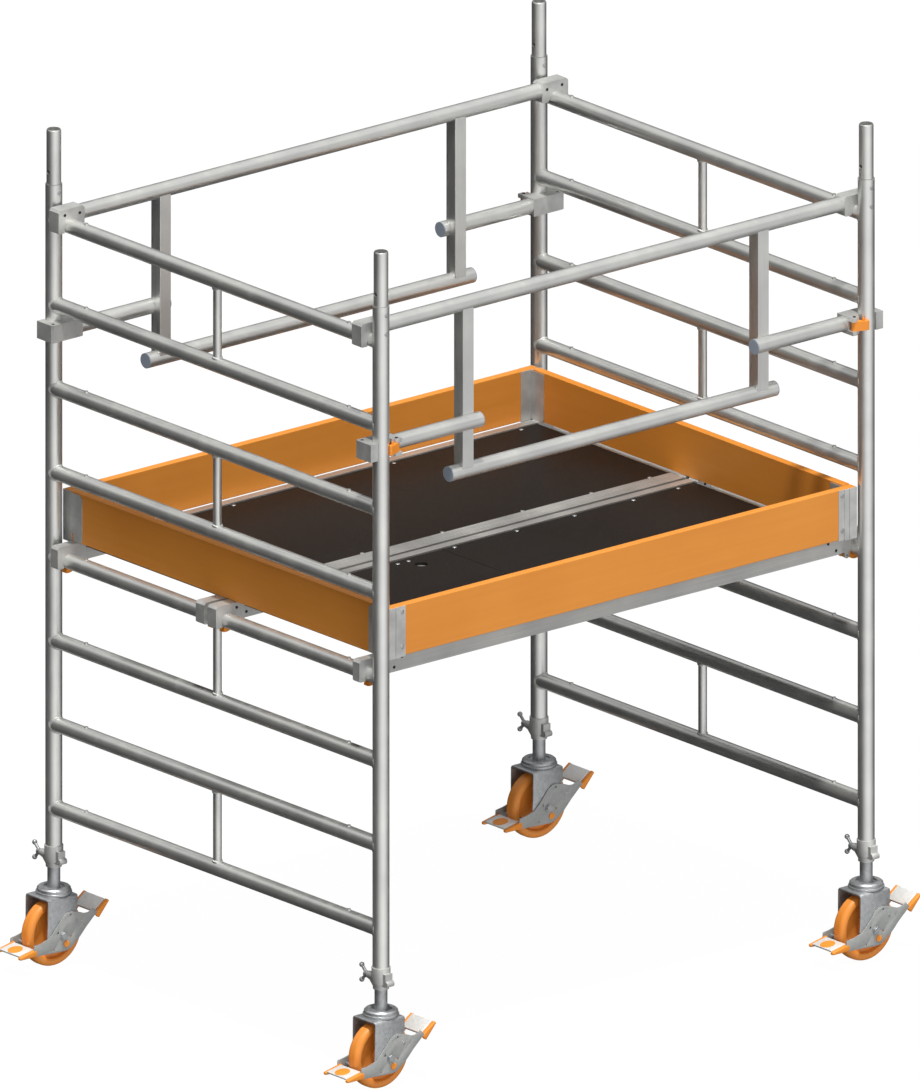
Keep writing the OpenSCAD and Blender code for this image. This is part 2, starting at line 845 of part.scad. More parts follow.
module post_clamp() {
    stem_bore = stem_d + 2 * seat_gap;
    translate([0, 0, post_foot]) difference() {
        union() {
            translate([0, 0, -clamp_h_down / 2])
                cylinder(h = clamp_h_up + clamp_h_down / 2, d = post_d + 2 * clamp_wall);
            translate([0, 0, -clamp_h_down]) cylinder(h = clamp_h_down, d = post_d - 2);
            translate([0, 0, clamp_screw_z]) rod_y(0, clamp_boss_y, clamp_boss_d);
            slab_y(post_r, clamp_boss_y - 6) translate([-clamp_ear_t / 2, -clamp_h_down])
                square([clamp_ear_t, clamp_h_down + clamp_screw_z]);
            translate([0, -post_r - 11, clamp_pivot_z])
                rod_x(-clamp_pivot_w / 2, clamp_pivot_w / 2, clamp_pivot_d);
            box([-clamp_pivot_w / 2, -post_r - 11, clamp_pivot_z - clamp_pivot_d / 2],
                [clamp_pivot_w / 2, -10, clamp_h_up - 14]);
        }
        cylinder(h = clamp_h_up + eps, d = post_d + 2 * seat_gap);
        translate([0, 0, -clamp_h_down - eps])
            cylinder(h = clamp_h_down + clamp_h_up, d = stem_bore);
        translate([0, 0, clamp_screw_z]) rod_y(0, clamp_boss_y + eps, wing_d + 2 * seat_gap);
        translate([-clamp_ear_t, clamp_boss_y - 20, clamp_screw_z - 54]) rotate([45, 0, 0])
            cube([2 * clamp_ear_t, 40, 24]);
    }
}

module post_clamps() {
    cast() for (sx = [left, right], sy = [front, rear]) at_post(sx, sy) post_clamp();
}

module wing_screw(sx, sy) {
    zinc() at_post(sx, sy) translate([0, 0, post_foot + clamp_screw_z]) {
        rod_y(stem_d / 2 + seat_gap, clamp_boss_y + 4, wing_d);
        rod_y(clamp_boss_y + seat_gap, clamp_boss_y + 15, wing_hub_d);
        for (s = [-1, 1]) {
            run = [wing_flare - clamp_boss_y - 8, s * wing_spread];
            translate([0, clamp_boss_y + 8, 0]) rotate([-atan2(run[0], run[1]), 0, 0])
                cylinder(h = norm(run), d = 9);
            translate([0, wing_flare, s * wing_spread]) sphere(r = wing_lobe_r, $fn = 32);
        }
    }
}

module castor_stem(sx, sy) {
    r = stem_d / 2;
    top = post_foot + stem_depth;
    zinc() at_post(sx, sy) rotate_extrude() polygon([
        [0, crown_z - fit_gap - kingpin_head_h],
        [kingpin_head_d / 2, crown_z - fit_gap - kingpin_head_h],
        [kingpin_head_d / 2, crown_z - fit_gap],
        [kingpin_d / 2, crown_z - fit_gap],
        [kingpin_d / 2, flange_z],
        [flange_d / 2, flange_z],
        [flange_d / 2, flange_z + flange_t - 4],
        [flange_d / 2 - 4, flange_z + flange_t],
        [r + 12, flange_z + flange_t],
        [r + 10, flange_z + flange_t - 4],
        [r, flange_z + flange_t - 4],
        [r, top],
        [r - stem_wall, top],
        [r - stem_wall, flange_z + 4],
        [0, flange_z + 4]
    ]);
}

fork_front = -52;
fork_back = 58;

module fork_leg_2d() {
    top = crown_z - wheel_r + 1;
    difference() {
        union() {
            polygon([
                [fork_front, top], [fork_back, top], [fork_back - 3, top - 40],
                [34, 8], [18, -16], [-16, -20], [fork_front - 4, -6], [fork_front - 2, 40]
            ]);
            circle(r = 22);
        }
        circle(d = axle_d + 0.2);
    }
}

module castor_fork(sx, sy) {
    zinc() at_post(sx, sy) {
        difference() {
            union() {
                translate([(fork_front + fork_back) / 2 - trail, 0, crown_z])
                    linear_extrude(height = crown_t)
                        rounded_square(fork_back - fork_front, fork_w, 12);
                translate([0, 0, crown_z + crown_t - eps / 2])
                    cylinder(h = race_t + eps / 2, d = race_d - 4);
                for (s = [-1, 1]) translate([axle_x, 0, wheel_r])
                    slab_y(s > 0 ? leg_y - leg_t : -leg_y, s > 0 ? leg_y : leg_t - leg_y)
                        fork_leg_2d();
            }
            translate([0, 0, crown_z - eps])
                cylinder(h = crown_t + race_t + 2 * eps, d = kingpin_d + 2 * fit_gap);
        }
        translate([axle_x, 0, wheel_r]) {
            rod_y(-lever_y - lever_t - 1, lever_y + lever_t + 1, axle_d);
            for (s = [-1, 1]) mirror([0, s < 0 ? 1 : 0, 0])
                translate([0, lever_y + lever_t + 0.4, 0]) rotate([-90, 0, 0])
                    cylinder(h = nut_h, d = nut_af * 1.155, $fn = 6);
        }
    }
}

tread_round = 14;
rim_in = wheel_r - 26;
web_half = 8;
hub_r = 24;
hub_half = fork_w / 2 - leg_t - 0.5;
function tread_arc(s) = [
    for (a = [0 : 15 : 90])
        [wheel_r - tread_round + tread_round * sin(s > 0 ? 90 - a : a),
         s * (wheel_w / 2 - tread_round + tread_round * cos(s > 0 ? 90 - a : a))]
];

module castor_wheel(sx, sy) {
    half = wheel_w / 2;
    orange() at_post(sx, sy) translate([axle_x, 0, wheel_r]) rotate([90, 0, 0])
        rotate_extrude($fn = 72) polygon(concat(
            [[axle_d / 2 + 0.2, -hub_half], [17, -hub_half], [17, -half], [hub_r, -half],
             [hub_r + 4, -web_half], [rim_in, -web_half], [rim_in + 4, -half + 2], [rim_in + 8, -half]],
            tread_arc(-1),
            tread_arc(1),
            [[rim_in + 8, half], [rim_in + 4, half - 2], [rim_in, web_half], [hub_r + 4, web_half],
             [hub_r, half], [17, half], [17, hub_half], [axle_d / 2 + 0.2, hub_half]]
        ));
}

lever_outline = [
    [-101, -43], [-108, -34], [-106, -12], [-80, -8], [-52, 0], [-33, 17], [-14, 38], [0, 54],
    [14, 64], [30, 65], [52, 60], [78, 50], [92, 49], [112, 58], [126, 44], [114, 34],
    [85, 8], [62, -16], [40, -34], [22, -45], [4, -48], [-65, -44]
];
front_pedal = [-128, -30, 55, -10];   // centre x, z, length, tilt
rear_pedal = [143, 57, 49, -38];

module pedal(p) {
    translate([p[0], 0, p[1]]) rotate([0, p[3], 0]) {
        translate([-p[2] / 2, -pedal_w / 2, -pedal_t / 2]) cube([p[2], pedal_w, pedal_t]);
        for (s = [-1, 1]) translate([0, s * (pedal_w / 2 + 5), 0])
            rod_x(-p[2] / 2, p[2] / 2 + 6, cheek_d);
    }
}

module brake_lever(sx, sy) {
    zinc() at_post(sx, sy) translate([axle_x, 0, wheel_r]) {
        for (s = [-1, 1])
            slab_y(s > 0 ? lever_y : -lever_y - lever_t, s > 0 ? lever_y + lever_t : -lever_y)
                difference() {
                    polygon(lever_outline);
                    circle(d = axle_d + 0.4);
                }
        pedal(rear_pedal);
        mirror([1, 0, 0]) pedal([-front_pedal[0], front_pedal[1], front_pedal[2], 10]);
    }
}

posts(left);  // left_posts
posts(right);  // right_posts
rungs(left);  // left_rungs
rungs(right);  // right_rungs
frame_struts();
spigots();
rail_tubes(front);  // front_rail_tubes
rail_tubes(rear);  // rear_rail_tubes
rail_uprights();
rail_claws();
rail_end_caps();
latch(left, front);  // left_front_latch
latch(right, front);  // right_front_latch
latch(left, rear);  // left_rear_latch
latch(right, rear);  // right_rear_latch
front_deck_rails();
rear_deck_rails();
front_deck_panel();
rear_deck_panel();
hatch_panel();
hatch_hinges();
hatch_leaves();
deck_hooks();
deck_catch(left, 0);  // left_catch_1
deck_catch(left, 1);  // left_catch_2
deck_catch(left, 2);  // left_catch_3
deck_catch(left, 3);  // left_catch_4
deck_catch(right, 0);  // right_catch_1
deck_catch(right, 1);  // right_catch_2
deck_catch(right, 2);  // right_catch_3
deck_catch(right, 3);  // right_catch_4
long_toe_board(front);  // front_toe_board
long_toe_board(rear);  // rear_toe_board
end_toe_board(left);  // left_toe_board
end_toe_board(right);  // right_toe_board
toe_brackets();
rivets();
screws_and_pins();
post_clamps();
wing_screw(left, front);  // left_front_wing_screw
castor_stem(left, front);  // left_front_stem
castor_fork(left, front);  // left_front_fork
castor_wheel(left, front);  // left_front_wheel
brake_lever(left, front);  // left_front_brake
wing_screw(right, front);  // right_front_wing_screw
castor_stem(right, front);  // right_front_stem
castor_fork(right, front);  // right_front_fork
castor_wheel(right, front);  // right_front_wheel
brake_lever(right, front);  // right_front_brake
wing_screw(left, rear);  // left_rear_wing_screw
castor_stem(left, rear);  // left_rear_stem
castor_fork(left, rear);  // left_rear_fork
castor_wheel(left, rear);  // left_rear_wheel
brake_lever(left, rear);  // left_rear_brake
wing_screw(right, rear);  // right_rear_wing_screw
castor_stem(right, rear);  // right_rear_stem
castor_fork(right, rear);  // right_rear_fork
castor_wheel(right, rear);  // right_rear_wheel
brake_lever(right, rear);  // right_rear_brake
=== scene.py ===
import math

import bpy
from mathutils import Matrix, Vector


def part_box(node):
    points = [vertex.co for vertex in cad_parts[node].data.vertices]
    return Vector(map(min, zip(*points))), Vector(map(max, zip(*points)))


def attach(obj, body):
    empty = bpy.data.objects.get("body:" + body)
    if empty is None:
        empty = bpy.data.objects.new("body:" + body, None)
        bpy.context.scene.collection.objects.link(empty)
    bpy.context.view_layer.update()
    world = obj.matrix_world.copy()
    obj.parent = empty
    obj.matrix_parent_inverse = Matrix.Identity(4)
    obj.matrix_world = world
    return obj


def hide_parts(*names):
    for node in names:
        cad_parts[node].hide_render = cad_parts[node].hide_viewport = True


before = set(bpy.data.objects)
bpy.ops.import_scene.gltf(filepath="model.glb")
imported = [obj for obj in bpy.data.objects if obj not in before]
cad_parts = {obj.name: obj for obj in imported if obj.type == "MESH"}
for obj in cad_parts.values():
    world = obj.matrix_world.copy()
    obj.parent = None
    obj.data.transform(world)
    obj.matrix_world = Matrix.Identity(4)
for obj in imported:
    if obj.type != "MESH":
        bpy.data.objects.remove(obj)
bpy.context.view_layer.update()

corners = [side + "_" + end for side in ("left", "right") for end in ("front", "rear")]


def deselect():
    if bpy.context.object and bpy.context.object.mode != "OBJECT":
        bpy.ops.object.mode_set(mode="OBJECT")
    bpy.ops.object.select_all(action="DESELECT")


def pick(piece):
    deselect()
    piece.select_set(True)
    bpy.context.view_layer.objects.active = piece
    return piece


def settle(name):
    # the newest object gets its name and keeps its place in its mesh
    piece = bpy.context.object
    piece.name = name
    bpy.ops.object.transform_apply(location=True, rotation=True, scale=True)
    return piece


def finishWith(piece, kind, **settings):
    pick(piece)
    step = piece.modifiers.new(kind.title(), kind)
    for key, value in settings.items():
        setattr(step, key, value)
    bpy.ops.object.modifier_apply(modifier=step.name)
    return piece


def roundEdges(piece, width, segments=3, angle=30):
    return finishWith(piece, "BEVEL", width=width, segments=segments, limit_method="ANGLE",
                      angle_limit=math.radians(angle), use_clamp_overlap=True)


def smooth(piece, angle=35):
    pick(piece)
    bpy.ops.object.shade_smooth_by_angle(angle=math.radians(angle))
    return piece


def block(name, low, high, edge=0.0, segments=3):
    low, high = Vector(low), Vector(high)
    deselect()
    bpy.ops.mesh.primitive_cube_add(size=1, location=(low + high) / 2)
    bpy.context.object.scale = high - low
    piece = settle(name)
    return roundEdges(piece, edge, segments) if edge else piece


def rod(name, start, end, radius, edge=0.0, sides=32):
    start, end = Vector(start), Vector(end)
    deselect()
    bpy.ops.mesh.primitive_cylinder_add(vertices=sides, radius=radius, depth=(end - start).length,
                                        location=(start + end) / 2)
    bpy.context.object.rotation_mode = "QUATERNION"
    bpy.context.object.rotation_quaternion = (end - start).to_track_quat("Z", "Y")
    piece = settle(name)
    return roundEdges(piece, edge, 4) if edge else piece


def plateXZ(name, outline, y0, y1, edge=0.0):
    # an outline in X and Z, extruded along Y
    mesh = bpy.data.meshes.new(name)
    mesh.from_pydata([(x, y0, z) for x, z in outline], [], [range(len(outline))])
    piece = bpy.data.objects.new(name, mesh)
    bpy.context.scene.collection.objects.link(piece)
    pick(piece)
    bpy.ops.object.mode_set(mode="EDIT")
    bpy.ops.mesh.select_all(action="SELECT")
    bpy.ops.mesh.extrude_region_move(TRANSFORM_OT_translate={"value": (0, y1 - y0, 0)})
    bpy.ops.mesh.select_all(action="SELECT")
    bpy.ops.mesh.normals_make_consistent(inside=False)
    bpy.ops.object.mode_set(mode="OBJECT")
    return roundEdges(piece, edge, 2) if edge else piece


def cutAway(piece, cutters):
    for cutter in cutters:
        finishWith(piece, "BOOLEAN", operation="DIFFERENCE", solver="EXACT", object=cutter)
        bpy.data.objects.remove(cutter)
    return piece


def joinUp(pieces, name):
    pick(pieces[0])
    for piece in pieces[1:]:
        piece.select_set(True)
    if len(pieces) > 1:
        bpy.ops.object.join()
    pieces[0].name = name
    pieces[0].data.name = name
    return pieces[0]


def copyOf(piece, name, matrix):
    twin = piece.copy()
    twin.data = piece.data.copy()
    twin.name = name
    twin.data.transform(matrix)
    if matrix.determinant() < 0:
        twin.data.flip_normals()
    bpy.context.scene.collection.objects.link(twin)
    return twin


def dress(piece, shade):
    piece.data.materials.clear()
    piece.data.materials.append(shade.material)
    return piece


class Sock:
    # an output socket that can stand in a sum
    def __init__(self, shade, socket):
        self.shade = shade
        self.socket = socket

    def maths(self, operation, a, b):
        return self.shade.node("Math", {"operation": operation}, {0: a, 1: b})

    def __add__(self, other):
        return self.maths("ADD", self, other)

    def __radd__(self, other):
        return self.maths("ADD", other, self)

    def __sub__(self, other):
        return self.maths("SUBTRACT", self, other)

    def __rsub__(self, other):
        return self.maths("SUBTRACT", other, self)

    def __mul__(self, other):
        return self.maths("MULTIPLY", self, other)

    def __rmul__(self, other):
        return self.maths("MULTIPLY", other, self)

    def __pow__(self, other):
        return self.maths("POWER", self, other)


class NodeTree:
    def __init__(self, owner):
        owner.use_nodes = True
        self.tree = owner.node_tree

    def node(self, kind, settings, sockets, out=0):
        made = self.tree.nodes.new("ShaderNode" + kind)
        for key, value in settings.items():
            if key == "stops":
                while len(made.color_ramp.elements) < len(value):
                    made.color_ramp.elements.new(0.5)
                for stop, (place, shadeOfGrey) in zip(made.color_ramp.elements, value):
                    stop.position = place
                    stop.color = (shadeOfGrey,) * 3 + (1,)
            else:
                setattr(made, key, value)
        for key, value in sockets.items():
            if isinstance(value, Sock):
                self.tree.links.new(value.socket, made.inputs[key])
            else:
                made.inputs[key].default_value = value
        return Sock(self, made.outputs[out])

    def send(self, value, node, label):
        self.tree.links.new(value.socket, self.tree.nodes[node].inputs[label])


class Shade(NodeTree):
    def __init__(self, name, **constants):
        self.material = bpy.data.materials.new(name)
        super().__init__(self.material)
        self.surface = self.tree.nodes["Principled BSDF"]
        for label, value in constants.items():
            self.surface.inputs[label.replace("_", " ")].default_value = value

    def wear(self, **results):
        for label, value in results.items():
            self.tree.links.new(value.socket, self.surface.inputs[label.replace("_", " ")])
        return self

    def place(self, stretch=(1, 1, 1), turn=(0, 0, 0)):
        at = self.node("TexCoord", {}, {}, "Object")
        return self.node("Mapping", {}, {"Vector": at, "Scale": stretch, "Rotation": turn})

    def noise(self, scale, detail=3, stretch=(1, 1, 1), roughness=0.5):
        return self.node("TexNoise", {}, {"Vector": self.place(stretch), "Scale": scale,
                                          "Detail": detail, "Roughness": roughness})

    def ramp(self, value, *stops):
        return self.node("ValToRGB", {"stops": stops}, {0: value})

    def blend(self, factor, a, b):
        return self.node("Mix", {"data_type": "RGBA"}, {0: factor, 6: a, 7: b}, 2)

    def bump(self, height, strength, distance):
        return self.node("Bump", {}, {"Height": height, "Strength": strength, "Distance": distance})


def paint(red, green, blue):
    # 0 to 255 as seen on a screen, made linear
    return tuple(((c / 255 + 0.055) / 1.055) ** 2.4 if c > 10 else c / 3294.6
                 for c in (red, green, blue)) + (1,)


tubeFinish = {
    "clean": paint(238, 238, 234),
    "dull": paint(214, 215, 214),
    "metallic": 0.84,
    "lineFineness": 620,
    "lineLength": 5,
}


def drawnTube(name, along):
    # fine drawing lines run along the tube, with cloudy oxide and a few rubbed places
    look = tubeFinish
    shade = Shade(name, Metallic=look["metallic"], IOR=1.6)
    stretch = [look["lineFineness"]] * 3
    stretch[along] = look["lineLength"]
    lines = shade.noise(1, 4, stretch)
    cloud = shade.noise(9, 5)
    rubbed = shade.ramp(shade.noise(34, 6, (1, 1, 0.35)), (0.52, 0), (0.66, 1))
    mottle = lines * 0.35 + cloud * 0.65
    colour = shade.blend(shade.ramp(mottle, (0.3, 0), (0.7, 1)), look["dull"], look["clean"])
    rough = 0.25 + mottle * 0.16 + rubbed * 0.08
    return shade.wear(Base_Color=colour, Roughness=rough,
                      Normal=shade.bump(lines, 0.12, 0.0003))


def castMetal(name):
    # die cast: fine grain, soft ripples from the mould and darker skin in places
    shade = Shade(name, Metallic=0.62, IOR=1.6)
    grain = shade.noise(900, 3)
    ripple = shade.noise(60, 4)
    skin = shade.noise(18, 5)
    colour = shade.blend(shade.ramp(skin * 0.7 + grain * 0.3, (0.3, 0), (0.68, 1)),
                         paint(176, 177, 177), paint(220, 220, 217))
    return shade.wear(Base_Color=colour, Roughness=0.42 + grain * 0.18,
                      Normal=shade.bump(grain * 0.6 + ripple * 0.4, 0.22, 0.0006))


def profileMetal(name):
    # mill-finish extrusion with die lines along the deck
    shade = Shade(name, Metallic=0.8, IOR=1.6)
    lines = shade.noise(1, 4, (4, 480, 480))
    cloud = shade.noise(7, 5)
    colour = shade.blend(shade.ramp(lines * 0.5 + cloud * 0.5, (0.32, 0), (0.68, 1)),
                         paint(178, 179, 178), paint(214, 213, 209))
    return shade.wear(Base_Color=colour, Roughness=0.34 + cloud * 0.2,
                      Normal=shade.bump(lines, 0.18, 0.0004))


def platedSteel(name, light, dark, metallic=0.75, rough=0.3):
    # zinc crystals of slightly different brightness under a thin clear skin
    shade = Shade(name, Metallic=metallic, IOR=1.8)
    crystals = shade.node("TexVoronoi", {"feature": "F1"}, {"Vector": shade.place(), "Scale": 130,
                                                            "Randomness": 1.0}, "Color")
    grey = shade.node("RGBToBW", {}, {0: crystals})
    cloud = shade.noise(26, 5)
    fine = shade.noise(700, 2)
    colour = shade.blend(grey * 0.45 + cloud * 0.55, dark, light)
    return shade.wear(Base_Color=colour, Roughness=rough + grey * 0.1 + cloud * 0.16,
                      Normal=shade.bump(fine * 0.5 + cloud * 0.5, 0.12, 0.0005))


def mouldedPlastic(name, deep, bright, rough=0.42, grain=520):
    shade = Shade(name, IOR=1.5)
    skin = shade.noise(grain, 2)
    cloud = shade.noise(20, 4)
    scuffs = shade.ramp(shade.noise(150, 6, (1, 1, 0.3)), (0.6, 0), (0.72, 1))
    colour = shade.blend(cloud, deep, bright)
    return shade.wear(Base_Color=colour, Roughness=rough + cloud * 0.12 + scuffs * 0.14,
                      Normal=shade.bump(skin * 0.7 + cloud * 0.3, 0.16, 0.0004))


def paintedBoard(name, along):
    # roller-painted board: faint lengthwise grain, orange peel and slight fading
    shade = Shade(name, IOR=1.5, Coat_Weight=0.12, Coat_Roughness=0.35)
    stretch = [60, 60, 60]
    stretch[along] = 2.2
    grain = shade.noise(1, 6, stretch, 0.6)
    peel = shade.noise(420, 2)
    fade = shade.noise(3.2, 4)
    colour = shade.blend(shade.ramp(grain * 0.4 + fade * 0.6, (0.3, 0), (0.7, 1)),
                         paint(222, 138, 46), paint(232, 150, 56))
    return shade.wear(Base_Color=colour, Roughness=0.46 + peel * 0.12 + fade * 0.08,
                      Normal=shade.bump(grain * 0.55 + peel * 0.45, 0.12, 0.0007))


def antiSlipPanel(name):
    # film-faced plywood pressed with a fine wire-mesh pattern, worn matt where it is walked on
    shade = Shade(name, IOR=1.3)
    at = shade.place((1, 1, 1), (0, 0, math.radians(45)))
    warp = shade.node("TexWave", {"wave_type": "BANDS", "bands_direction": "X"},
                      {"Vector": at, "Scale": 46, "Distortion": 0.0})
    weft = shade.node("TexWave", {"wave_type": "BANDS", "bands_direction": "Y"},
                      {"Vector": at, "Scale": 46, "Distortion": 0.0})
    weave = warp * weft
    walked = shade.ramp(shade.noise(3.5, 5), (0.35, 0), (0.7, 1))
    grit = shade.noise(800, 2)
    colour = shade.blend(walked * 0.7 + grit * 0.3, paint(20, 16, 13), paint(32, 26, 22))
    return shade.wear(Base_Color=colour, Roughness=0.42 + walked * 0.16 + grit * 0.1,
                      Normal=shade.bump(weave * 0.8 + grit * 0.2, 0.3, 0.0006))


shades = {
    "tubeX": drawnTube("railTube", 0),
    "tubeY": drawnTube("rungTube", 1),
    "tubeZ": drawnTube("postTube", 2),
    "cast": castMetal("castAluminium"),
    "profile": profileMetal("deckProfile"),
    "zinc": platedSteel("zincPlate", paint(204, 206, 208), paint(150, 153, 156)),
    "brakePlate": platedSteel("pressedPlate", paint(178, 180, 178), paint(150, 152, 150),
                              0.2, 0.42),
    "pedalPad": platedSteel("pedalPad", paint(240, 240, 238), paint(222, 222, 220), 0.25, 0.4),
    "orange": mouldedPlastic("orangePlastic", paint(240, 140, 36), paint(250, 158, 54)),
    "wheel": mouldedPlastic("wheelPlastic", paint(232, 138, 48), paint(244, 156, 68), 0.36),
    "cap": mouldedPlastic("endCapPlastic", paint(140, 150, 164), paint(156, 166, 180)),
    "boardX": paintedBoard("longBoardPaint", 0),
    "boardY": paintedBoard("endBoardPaint", 1),
    "panel": antiSlipPanel("antiSlipPanel"),
    "blackened": platedSteel("blackenedSteel", paint(62, 62, 65), paint(38, 38, 41), 0.6, 0.4),
}


def shadeFor(node):
    if node.endswith("_rungs"):
        return "tubeY"
    if node.endswith("_posts") or node in ("frame_struts", "spigots", "rail_uprights"):
        return "tubeZ"
    if node.endswith("rail_tubes"):
        return "tubeX"
    if node.endswith("deck_rails"):
        return "profile"
    if node.endswith("deck_panel") or node == "hatch_panel":
        return "panel"
    if node.endswith("_latch") or "_catch_" in node:
        return "orange"
    if node in ("front_toe_board", "rear_toe_board"):
        return "boardX"
    if node in ("left_toe_board", "right_toe_board"):
        return "boardY"
    if node in ("rail_claws", "deck_hooks", "toe_brackets", "post_clamps"):
        return "cast"
    if node == "rail_end_caps":
        return "cap"
    if node.endswith("_wheel"):
        return "wheel"
    return "blackened" if node == "screws_and_pins" else "zinc"


for node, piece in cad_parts.items():
    dress(piece, shades[shadeFor(node)])
print("materials on", len(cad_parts), "nodes")

# Edges that are broken on the real castings, extrusions and boards
softEdges = {
    "rail_claws": 0.0022, "deck_hooks": 0.0022, "post_clamps": 0.0018, "toe_brackets": 0.0005,
    "front_deck_rails": 0.0008, "rear_deck_rails": 0.0006,
    "front_toe_board": 0.0022, "rear_toe_board": 0.0022, "left_toe_board": 0.0022,
    "right_toe_board": 0.0022, "front_deck_panel": 0.0012, "rear_deck_panel": 0.0012,
    "hatch_panel": 0.0012, "rail_uprights": 0.0025,
}
for node, width in softEdges.items():
    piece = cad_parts[node]
    weld = piece.modifiers.new("Weld", "WELD")
    weld.merge_threshold = 0.00002
    edge = piece.modifiers.new("Edge", "BEVEL")
    edge.width = width
    edge.segments = 2
    edge.limit_method = "ANGLE"
    edge.angle_limit = math.radians(40)
    edge.use_clamp_overlap = True

weldSizes = {
    "bead": 0.0032,
    "ripples": 34,
    "rippleDepth": 0.0006,
    "rungRadius": 0.0225,
    "postRadius": 0.02415,
    "strutRadius": 0.0125,
    "around": 136,
    "sides": 8,
    "rungCount": 8,
    "rungPitch": 0.25,
}


def saddleBead(name, tube, host):
    # a rippled bead round a tube, bent to the round wall that it is welded to; it opens along +Z
    size = weldSizes
    deselect()
    bpy.ops.mesh.primitive_torus_add(major_segments=size["around"], minor_segments=size["sides"],
                                     major_radius=tube, minor_radius=size["bead"])
    piece = settle(name)
    for v in piece.data.vertices:
        angle = math.atan2(v.co.y, v.co.x)
        ripple = size["rippleDepth"] * math.sin(angle * size["ripples"])
        out = Vector((v.co.x, v.co.y, 0)).normalized()
        v.co += out * ripple * 0.5 + Vector((0, 0, ripple * 0.5))
        reach = min(abs(v.co.x), host * 0.97)
        v.co.z += math.sqrt(host ** 2 - reach ** 2)
    return smooth(piece, 60)


def frameWelds(side):
    size = weldSizes
    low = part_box(side + "_rungs")[0]
    postLow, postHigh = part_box(side + "_posts")
    x = (postLow.x + postHigh.x) / 2
    postY = postHigh.y - size["postRadius"]
    firstZ = low.z + size["rungRadius"]
    pitch = size["rungPitch"]
    rungBead = saddleBead("rungBead", size["rungRadius"], size["postRadius"])
    strutBead = saddleBead("strutBead", size["strutRadius"], size["rungRadius"])
    beads = []
    for k in range(size["rungCount"]):
        z = firstZ + k * pitch
        for sy in (-1, 1):
            # the bead's opening faces the middle of the frame
            turn = Matrix.Rotation(math.radians(90 * sy), 4, "X")
            at = Matrix.Translation((x, sy * postY, z))
            beads.append(copyOf(rungBead, "bead", at @ turn))
    for k in range(0, size["rungCount"] - 1, 2):
        z = firstZ + k * pitch
        quarter = Matrix.Rotation(math.radians(90), 4, "Z")
        beads.append(copyOf(strutBead, "bead", Matrix.Translation((x, 0, z)) @ quarter))
        beads.append(copyOf(strutBead, "bead", Matrix.Translation((x, 0, z + pitch))
                            @ Matrix.Rotation(math.pi, 4, "X") @ quarter))
    for template in (rungBead, strutBead):
        bpy.data.objects.remove(template)
    piece = dress(joinUp(beads, side + "_frame_welds"), shades["cast"])
    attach(piece, "tower")


for side in ("left", "right"):
    frameWelds(side)
print("welds done")

deckScrews = {
    "radius": 0.0062,
    "rise": 0.0016,
    "underside": -0.0004,
    "crossArm": 0.0026,
    "crossHalf": 0.0005,
    "crossFloor": 0.0009,
    "crossTop": 0.003,
    "panelTop": 1.258,
    "rearEdges": (0.078, 0.643),
    "rearXs": (-0.766, -0.5, -0.296, 0.0, 0.296, 0.55, 0.766),
    "frontEdges": (-0.6435, -0.048),
    "frontXs": (-0.06, 0.17, 0.383, 0.6, 0.766),
    "hatchEdge": -0.06,
    "hatchXs": (-0.74, -0.28, -0.24),
}


def panelScrew(name):
    # a low dome with a cross recess
    size = deckScrews
    deselect()
    bpy.ops.mesh.primitive_uv_sphere_add(segments=20, ring_count=10, radius=size["radius"])
    piece = settle(name)
    pick(piece)
    bpy.ops.object.mode_set(mode="EDIT")
    bpy.ops.mesh.select_all(action="SELECT")
    bpy.ops.mesh.bisect(plane_co=(0, 0, size["underside"]), plane_no=(0, 0, 1),
                        clear_inner=True, use_fill=True)
    bpy.ops.object.mode_set(mode="OBJECT")
    piece.data.transform(Matrix.Diagonal((1, 1, size["rise"] / size["radius"], 1)))
    arm, half = size["crossArm"], size["crossHalf"]
    deep, high = size["crossFloor"], size["crossTop"]
    cuts = [block("cut", (-arm, -half, deep), (arm, half, high)),
            block("cut", (-half, -arm, deep), (half, arm, high))]
    return smooth(cutAway(piece, cuts), 40)


def screwRow(name, spots, body):
    template = panelScrew("screw")
    made = [copyOf(template, "screw", Matrix.Translation((x, y, deckScrews["panelTop"])))
            for x, y in spots]
    bpy.data.objects.remove(template)
    piece = dress(joinUp(made, name), shades["zinc"])
    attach(piece, body)


for end in ("rear", "front"):
    spots = [(x, y) for x in deckScrews[end + "Xs"] for y in deckScrews[end + "Edges"]]
    screwRow(end + "_panel_screws", spots, "tower")
screwRow("hatch_panel_screws", [(x, deckScrews["hatchEdge"]) for x in deckScrews["hatchXs"]],
         "hatch")
print("deck screws done")

forkSizes = {
    "width": 0.1,
    "sheet": 0.004,
    "front": -0.052,
    "back": 0.058,
    "top": 0.114,
    "shoulder": 0.012,
    "raceRadius": 0.052,
    "raceTop": 0.121,
    "kingpin": 0.0083,
    "bolt": 0.006,
    "boltHalf": 0.0575,
    "washerIn": 0.054,
    "washerOut": 0.0556,
    "washerRadius": 0.012,
    "nutOut": 0.062,
    "nutRadius": 0.0105,
    "legFoot": -0.03,
    "cutHalf": 0.08,
}


